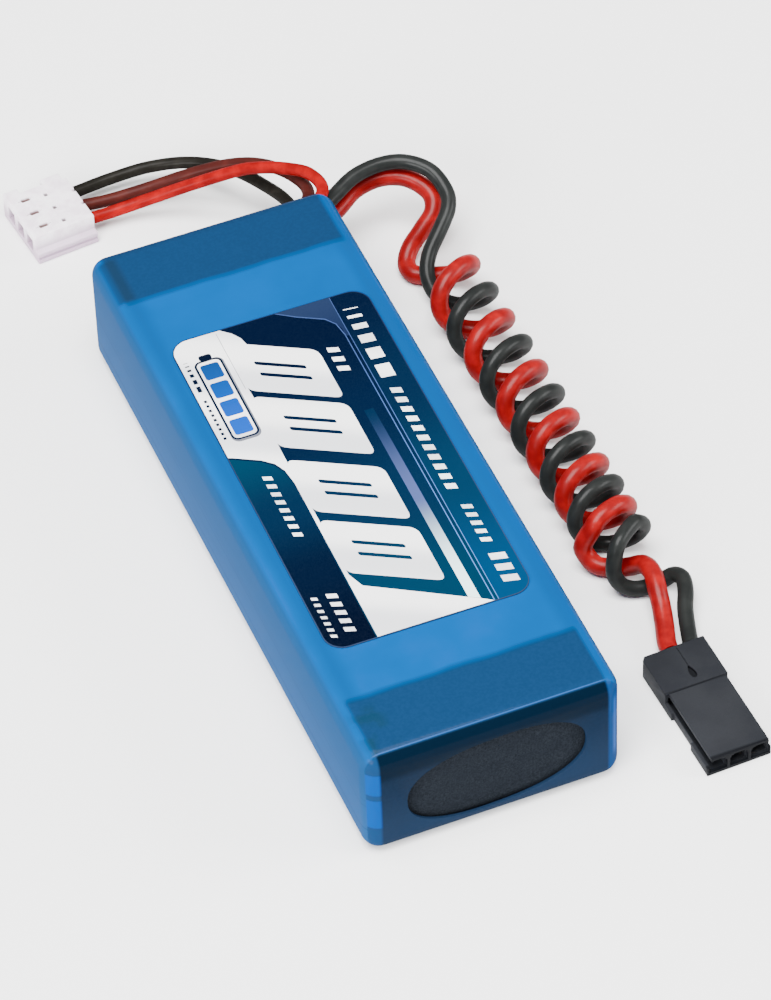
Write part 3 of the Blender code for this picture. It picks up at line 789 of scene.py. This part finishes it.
def white_print():
    """White print with the soft silvery shading that runs across the blocks."""
    paint = Paint("print_white", Roughness=0.32, Specular_IOR_Level=0.0, Coat_Weight=0.05,
                  Coat_Roughness=0.12)  # fmt: skip
    along = paint.math("ADD", paint.y, paint.math("MULTIPLY", paint.x, 0.56))
    wave = paint.math("SINE", paint.math("MULTIPLY", along, 2 * pi / (10.0 * MM)))
    tone = paint.mix(paint.ramp(wave, -1.0, 1.0, 0.0, 0.5), colour(244, 244, 246), colour(214, 216, 220))
    dots = paint.ramp(paint.noise(0.12 * MM, 1.0), 0.35, 0.65, 0.0, 0.05)
    paint.base(paint.mix(dots, tone, colour(190, 195, 200)))
    paint.bump(paint.noise(5 * MM, 2.0), 0.03 * MM, 0.3)
    return paint.mat


def label():
    """One thin sheet whose top is divided along the borders of the print."""
    materials = {
        "edge": print_material("edge", [(84, 112, 152), (60, 84, 130)], -25, 25),
        "ground": print_material("ground", [(0, 92, 132), (4, 66, 116), (2, 40, 92), (0, 22, 70)], -22, 20),
        "strip": print_material("strip", [(0, 110, 162), (2, 86, 132), (4, 54, 104), (4, 28, 76)], -24, 24),
        "slate": print_material("slate", [(40, 66, 122), (62, 88, 136)], 17, 25),
        "white": white_print(),
        "panel": print_material("panel", [(0, 14, 52), (0, 28, 74), (0, 58, 108), (0, 94, 132)], -24, 5),
        "stripe": print_material("stripe", [(232, 236, 242), (140, 156, 196), (4, 62, 112)], -23, 6),
        "line": print_material("line", [(150, 190, 220), (110, 140, 185)], -25, 25),
        "hair": print_material("hair", [(170, 176, 186), (170, 176, 186)], -25, 25),
        "navy": print_material("navy", [(14, 34, 84), (6, 22, 62)], 5, 24),
        "sign": print_material("sign", [(0, 140, 214), (24, 110, 176)], 8, 23),
        "shade": print_material("shade", [(178, 180, 188), (190, 192, 198)], 5, 24),
    }
    names = list(materials)
    art = label_art()
    points, faces = [], []
    for _, outline in art:
        area = sum(a[0] * b[1] - b[0] * a[1] for a, b in zip(outline, outline[1:] + outline[:1]))
        outline = outline if area > 0 else outline[::-1]
        faces.append(list(range(len(points), len(points) + len(outline))))
        points += [Vector(p) for p in outline]
    verts, _, triangles, _, _, owners = delaunay_2d_cdt(points, [], faces, 1, 1e-5)
    mesh = bpy.data.meshes.new("printed_label")
    mesh.from_pydata([(v.x * MM, v.y * MM, 0.0) for v in verts], [], triangles)
    for name in names:
        mesh.materials.append(materials[name])
    for polygon, inside in zip(mesh.polygons, owners):
        polygon.material_index = names.index(art[max(inside)][0])
    sheet = add_object("printed_label", mesh)
    thick = sheet.modifiers.new("film", "SOLIDIFY")
    thick.thickness = 0.12 * MM
    thick.offset = -1.0
    apply(sheet)
    turn = Matrix.Rotation(LABEL_TURN, 4, "Z")
    sheet.data.transform(Matrix.Translation((0, LABEL_Y, PACK_H + 0.15 * MM)) @ turn)
    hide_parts("top_label")
    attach(sheet, "root")


# ---------------------------------------------------------------- plugs


def servo_plug(mat):
    """Housing of the servo style plug: rear block, front plate, side ledge and three sockets."""
    half_w, half_l = SERVO_W / 2, SERVO_L / 2
    step = SERVO_STEP
    ledge = 1.25 * MM
    inset = 0.5 * MM
    body = box("servo_plug_body", (-half_w, half_w), (-half_l, half_l), (0, SERVO_T))
    rear_corner = [(-SERVO_W, half_l - inset), (-half_w, half_l - inset), (0.4 * MM - half_w, half_l),
                   (0.4 * MM - half_w, SERVO_L), (-SERVO_W, SERVO_L)]  # fmt: skip
    cuts = [
        box("cut", (-SERVO_W, inset - half_w), (-SERVO_L, step), (ledge, 2 * SERVO_T)),
        box("cut", (half_w - inset / 2, SERVO_W), (-SERVO_L, step), (ledge, 2 * SERVO_T)),
        box("cut", (-SERVO_W, 0.3 * MM - half_w), (half_l - 12.4 * MM, half_l - 7.7 * MM),
            (-ledge, 1.1 * ledge)),
        box("cut", (-SERVO_W, SERVO_W), (-SERVO_L, step), (SERVO_T - 0.14 * MM, 2 * SERVO_T)),
        prism("cut", rear_corner, -SERVO_T, 2 * SERVO_T),
        # lead-in slope along the mating end's upper edge
        prism("cut", [(-half_l - MM, SERVO_T - inset), (0.35 * MM - half_l, SERVO_T + 0.1 * MM),
                      (-half_l - MM, SERVO_T + 0.1 * MM)], -SERVO_W, SERVO_W, "X"),
    ]  # fmt: skip
    combine(body, cuts)
    apply(bevel(body, 0.16 * MM, 3))
    openings = []
    for way in (-1, 0, 1):
        x = way * SERVO_PITCH
        openings.append(box("way", (x - 0.95 * MM, x + 0.95 * MM), (-SERVO_L, half_l + MM),
                            (0.55 * MM, 2.05 * MM)))  # fmt: skip
        # funnel that guides the pin in
        mouth = [(x - 1.1 * MM, 0.4 * MM), (x + 1.1 * MM, 0.4 * MM), (x + 1.1 * MM, 1.7 * MM),
                 (x + 0.55 * MM, 2.2 * MM), (x - 0.55 * MM, 2.2 * MM), (x - 1.1 * MM, 1.7 * MM)]  # fmt: skip
        openings.append(prism("mouth", mouth, half_l - 0.45 * MM, half_l + MM, "Y"))
    # latch dimple with its slit on the rear block
    dimple = []
    corners = 20
    for corner in range(corners):
        angle = 2 * pi * corner / corners
        narrowing = sqrt((1.1 - sin(angle)) / 2)
        dimple.append((DIMPLE_X + 0.5 * MM * cos(angle) * narrowing, step + 1.9 * MM + MM * sin(angle)))
    openings.append(prism("dimple", dimple, SERVO_T - 0.4 * MM, 2 * SERVO_T))
    slit_x, slit_y = (DIMPLE_X - 0.07 * MM, DIMPLE_X + 0.07 * MM), (step + 2.4 * MM, half_l - 0.4 * MM)
    openings.append(box("slit", slit_x, slit_y, (SERVO_T - 0.12 * MM, 2 * SERVO_T)))
    combine(body, openings)
    smooth(body, 30)
    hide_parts("servo_plug_housing")
    finish_piece(body, mat, SERVO_PLACE)
    return body


def balance_plug(mat):
    """Housing of the three way plug: windows over its latches, side rails and keyed ears."""
    half_l, half_w = BALANCE_L / 2, BALANCE_W / 2
    body = box("balance_plug_body", (-half_l, half_l), (-half_w, half_w), (0, BALANCE_T))
    rail = 0.85 * MM
    cuts = [
        box("cut", (-BALANCE_L, BALANCE_L), (-BALANCE_W, rail - half_w), (1.6 * MM, 2 * BALANCE_T)),
        box("cut", (1.9 * MM - half_l, 4.9 * MM - half_l), (half_w - rail, BALANCE_W), (-MM, 2 * BALANCE_T)),
        box("cut", (half_l - 0.5 * MM, BALANCE_L), (half_w - 1.4 * rail, BALANCE_W), (-MM, 2 * BALANCE_T)),
        # shallow groove along the near side rail
        box("cut", (-BALANCE_L, BALANCE_L), (-BALANCE_W, 0.25 * MM - half_w), (0.55 * MM, 0.95 * MM)),
    ]
    for way in (-0.5, 0.5):
        y = way * BALANCE_PITCH
        cuts.append(box("cut", (half_l - 0.35 * MM, BALANCE_L), (y - 0.2 * MM, y + 0.2 * MM),
                        (-MM, 2 * BALANCE_T)))  # fmt: skip
    combine(body, cuts)
    apply(bevel(body, 0.12 * MM, 3))
    openings = []
    for way in (-1, 0, 1):
        y = way * BALANCE_PITCH
        openings.append(box("way", (-BALANCE_L, BALANCE_L), (y - 0.85 * MM, y + 0.85 * MM),
                            (0.9 * MM, 2.7 * MM)))  # fmt: skip
        window = rounded(1.15 * MM, 0.6 * MM, 0.12 * MM, (WINDOW_X, y), 3)
        slit = rounded(2.0 * MM, 0.14 * MM, 0.05 * MM, (WINDOW_X, y), 2)
        mark = rounded(0.5 * MM, 0.55 * MM, 0.12 * MM, (MARK_X, y - 0.35 * MM), 3)
        openings += [
            prism("window", window, 2 * MM, 2 * BALANCE_T),
            prism("slit", slit, BALANCE_T - 0.2 * MM, 2 * BALANCE_T),
            prism("mark", mark, 2 * MM, 2 * BALANCE_T),
        ]
    combine(body, openings)
    smooth(body, 30)
    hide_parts("balance_plug_housing")
    finish_piece(body, mat, BALANCE_PLACE)
    return body


def charcoal_material():
    paint = Paint("charcoal_moulding", Roughness=0.5, Specular_IOR_Level=0.04)
    fine = paint.noise(0.14 * MM, 3.0, roughness=0.6)
    broad = paint.noise(3.5 * MM, 3.0)
    tone = paint.mix(paint.ramp(broad, 0.3, 0.7), colour(73, 76, 84), colour(82, 85, 92))
    tone = paint.mix(paint.ramp(fine, 0.45, 0.75, 0.0, 0.25), tone, colour(58, 62, 72))
    # painted shade on the mating end, which is darker towards the front
    plug = SERVO_PLACE.translation
    mating = plug.y - SERVO_L / 2
    front = paint.ramp(paint.y, mating + 0.5 * MM, mating + 0.15 * MM)
    tone = paint.mix(front, tone, colour(34, 37, 44))
    # painted shade in the corner of the step and on the floor of the dimple
    step = plug.y + SERVO_STEP
    corner = paint.both(paint.window(paint.y, step - 0.12 * MM, step + 0.1 * MM, 0.08 * MM),
                        paint.ramp(paint.z, SERVO_T - 0.4 * MM, SERVO_T - 0.2 * MM))  # fmt: skip
    middle = plug.x + DIMPLE_X - 0.05 * MM
    floor = paint.both(paint.window(paint.x, middle - 0.7 * MM, middle + 0.7 * MM, 0.1 * MM),
                       paint.window(paint.y, step + 0.7 * MM, step + 3.1 * MM, 0.1 * MM),
                       paint.ramp(paint.z, SERVO_T - 0.12 * MM, SERVO_T - 0.28 * MM))  # fmt: skip
    tone = paint.mix(paint.math("MULTIPLY", corner, 0.7), tone, colour(44, 47, 54))
    paint.base(paint.mix(paint.math("MULTIPLY", floor, 0.8), tone, colour(38, 40, 46)))
    paint.rough(paint.ramp(broad, 0.3, 0.7, 0.5, 0.62))
    paint.bump(fine, 0.02 * MM, 0.6)
    return paint.mat


def nylon_material():
    """Natural nylon: milky, a little light passes into it, with painted cool lilac shade low down."""
    paint = Paint("natural_nylon_moulding", Roughness=0.42, Specular_IOR_Level=0.25, Subsurface_Weight=0.25,
                  Subsurface_Scale=0.0006)  # fmt: skip
    paint.shader.inputs["Subsurface Radius"].default_value = (1.0, 0.8, 0.9)
    # painted shade: a cool lilac tone low down on the plug
    low = paint.ramp(paint.z, 3.4 * MM, 0.8 * MM)
    cloud = paint.ramp(paint.noise(1.4 * MM, 3.0), 0.35, 0.7, 0.0, 0.35)
    tone = paint.mix(paint.math("MULTIPLY", low, 0.7), colour(238, 235, 236), colour(208, 184, 208))
    tone = paint.mix(cloud, tone, colour(226, 216, 224))
    # the contacts shimmer golden through the latch windows and faintly through the marks
    plug = BALANCE_PLACE.translation
    to_plug = BALANCE_PLACE.inverted()
    along = paint.math("ADD", paint.math("MULTIPLY", paint.x, to_plug[0][0]),
                       paint.math("MULTIPLY", paint.y, to_plug[0][1]))  # fmt: skip
    along = paint.math("ADD", along, to_plug[0][3])
    sunk = paint.both(paint.ramp(paint.z, BALANCE_T - 0.08 * MM, BALANCE_T - 0.35 * MM),
                      paint.window(paint.y, plug.y - 3.4 * MM, plug.y + 3.4 * MM, 0.1 * MM))  # fmt: skip
    window = paint.both(sunk, paint.window(along, WINDOW_X - 0.7 * MM, WINDOW_X + 0.7 * MM, 0.1 * MM))
    mark = paint.both(sunk, paint.window(along, MARK_X - 0.35 * MM, MARK_X + 0.35 * MM, 0.1 * MM))
    tone = paint.mix(paint.math("MULTIPLY", window, 0.8), tone, colour(196, 138, 98))
    paint.base(paint.mix(paint.math("MULTIPLY", mark, 0.6), tone, colour(196, 160, 165)))
    paint.bump(paint.noise(0.3 * MM, 2.0), 0.012 * MM, 0.5)
    return paint.mat


def metal_material(name, tone, dark, rough=0.3):
    paint = Paint(name, Metallic=1.0, Roughness=rough)
    brushed = paint.noise(0.25 * MM, 3.0, paint.stretched(1.0, 0.1, 1.0))
    paint.base(paint.mix(paint.ramp(brushed, 0.3, 0.7), colour(*dark), colour(*tone)))
    paint.rough(paint.ramp(brushed, 0.3, 0.7, rough - 0.08, rough + 0.1))
    paint.bump(brushed, 0.01 * MM, 0.4)
    return paint.mat


def plain_material(name, tone, dark, rough, size=0.8, depth=0.02):
    paint = Paint(name, Roughness=rough)
    patches = paint.noise(size * MM, 3.0)
    paint.base(paint.mix(paint.ramp(patches, 0.3, 0.7), colour(*dark), colour(*tone)))
    paint.rough(paint.ramp(patches, 0.3, 0.7, max(0.05, rough - 0.06), min(1.0, rough + 0.06)))
    paint.bump(paint.noise(size * 0.3 * MM, 2.0), depth * MM, 0.5)
    return paint.mat


def carried_over():
    """Materials for the CAD nodes that stay as they are."""
    tin = metal_material("tinned_contacts", (226, 206, 160), (176, 150, 104))
    nickel = metal_material("nickel_strip", (196, 192, 184), (150, 146, 138))
    aluminium = metal_material("aluminium_strip", (214, 216, 220), (176, 178, 184))
    foil = plain_material("pouch_foil", (206, 210, 216), (186, 190, 198), 0.34, 2.5, 0.05)
    foil.node_tree.nodes["Principled BSDF"].inputs["Metallic"].default_value = 0.8
    stack = plain_material("coated_stack", (58, 58, 62), (36, 36, 40), 0.75, 0.5)
    board = plain_material("solder_mask", (20, 104, 62), (14, 82, 48), 0.38, 0.7)
    amber = plain_material("amber_film", (196, 132, 34), (166, 100, 20), 0.28, 1.6)
    tape = plain_material("spacer_film", (222, 220, 212), (200, 198, 190), 0.8, 0.6)
    looks = {"_contact_": tin, "_pouch_": foil, "_stack": stack, "_positive_tab": aluminium,
             "_negative_tab": nickel, "terminal_board": board, "series_link": nickel,
             "tab_insulation_tape": amber, "cell_spacer_tape": tape}  # fmt: skip
    for name, obj in nodes.items():
        for key, mat in looks.items():
            if key in name:
                obj.data.materials.clear()
                obj.data.materials.append(mat)


# ---------------------------------------------------------------- stage


def area_light(name, place, size, power):
    """A white lamp that points at the middle of the part's floor."""
    data = bpy.data.lights.new(name, "AREA")
    data.shape = "RECTANGLE"
    data.size, data.size_y = size
    data.energy = power
    obj = add_object(name, data)
    obj.location = place
    obj.rotation_euler = (-Vector(place)).to_track_quat("-Z", "Y").to_euler()


def stage():
    floor = add_mesh("floor", [(-3, -3, 0), (3, -3, 0), (3, 3, 0), (-3, 3, 0)], [(0, 1, 2, 3)])
    floor.location.z = -0.05 * MM
    paint = Paint("pale_floor", Roughness=0.9, Specular_IOR_Level=0.1)
    paint.base(paint.mix(paint.noise(0.2, 2.0), (0.93, 0.93, 0.93, 1.0), (0.95, 0.95, 0.95, 1.0)))
    floor.data.materials.append(paint.mat)
    world = bpy.data.worlds.new("studio")
    world.use_nodes = True
    back = world.node_tree.nodes["Background"]
    back.inputs["Color"].default_value = (1.0, 1.0, 1.0, 1.0)
    back.inputs["Strength"].default_value = 0.4
    bpy.context.scene.world = world
    area_light("overhead", (-0.15, -0.15, 1.0), (0.7, 0.7), 34.0)
    area_light("left", (-0.85, -0.55, 0.45), (0.7, 0.5), 26.0)
    area_light("right", (0.9, -0.35, 0.5), (0.6, 0.5), 12.0)


# ---------------------------------------------------------------- build

camera()

red = silicone("red_silicone", (210, 42, 46), (194, 33, 38), (255, 150, 140), 0.26)
grey = silicone("grey_silicone", (82, 86, 84), (66, 70, 69), (170, 180, 180), 0.2)
dark = silicone("dark_silicone", (72, 69, 62), (56, 53, 47), (150, 150, 140), 0.08)
bright_red = silicone("bright_red_silicone", (208, 34, 38), (192, 26, 30), (255, 150, 140), 0.08)
maroon = silicone("maroon_silicone", (146, 70, 62), (128, 58, 52), (200, 150, 140), 0.08)

servo = servo_plug(charcoal_material())
balance = balance_plug(nylon_material())

red_lead = RED_NEAR + coil_route(-0.26, 5.34, 0.0, RED_TURN) + RED_FAR
black_lead = BLACK_NEAR + coil_route(0.2, 5.62, 0.5, BLACK_TURN) + BLACK_FAR
lead, start, length = wire("red_discharge_lead", red_lead, RED_D, red)
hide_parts("discharge_wire_red_near", "discharge_coil", "discharge_wire_red_far")
lead, start, length = wire("black_discharge_lead", black_lead, BLACK_D, grey)
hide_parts("discharge_wire_black_near", "discharge_wire_black_far")

for name, mat, slot in (("black", dark, "black_silicone"), ("brown", maroon, "brown_vinyl"),
                        ("red", bright_red, "red_silicone")):  # fmt: skip
    lead, start, length = wire(f"{name}_balance_lead", SENSE_ROUTES[name], SENSE_D, mat)
    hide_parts(f"balance_wire_{name}")

shrink_film(film_material())
foam = foam_material()
foam_pad("front_foam", "front_foam_pad", -1, 38.6 * MM, foam)
foam_pad("rear_foam", "rear_foam_pad", 1, 40.4 * MM, foam,
         ((7.8 * MM, PACK_W), (39 * MM, PACK_L), (3.2 * MM, 12.6 * MM)))  # fmt: skip
label()
carried_over()
stage()
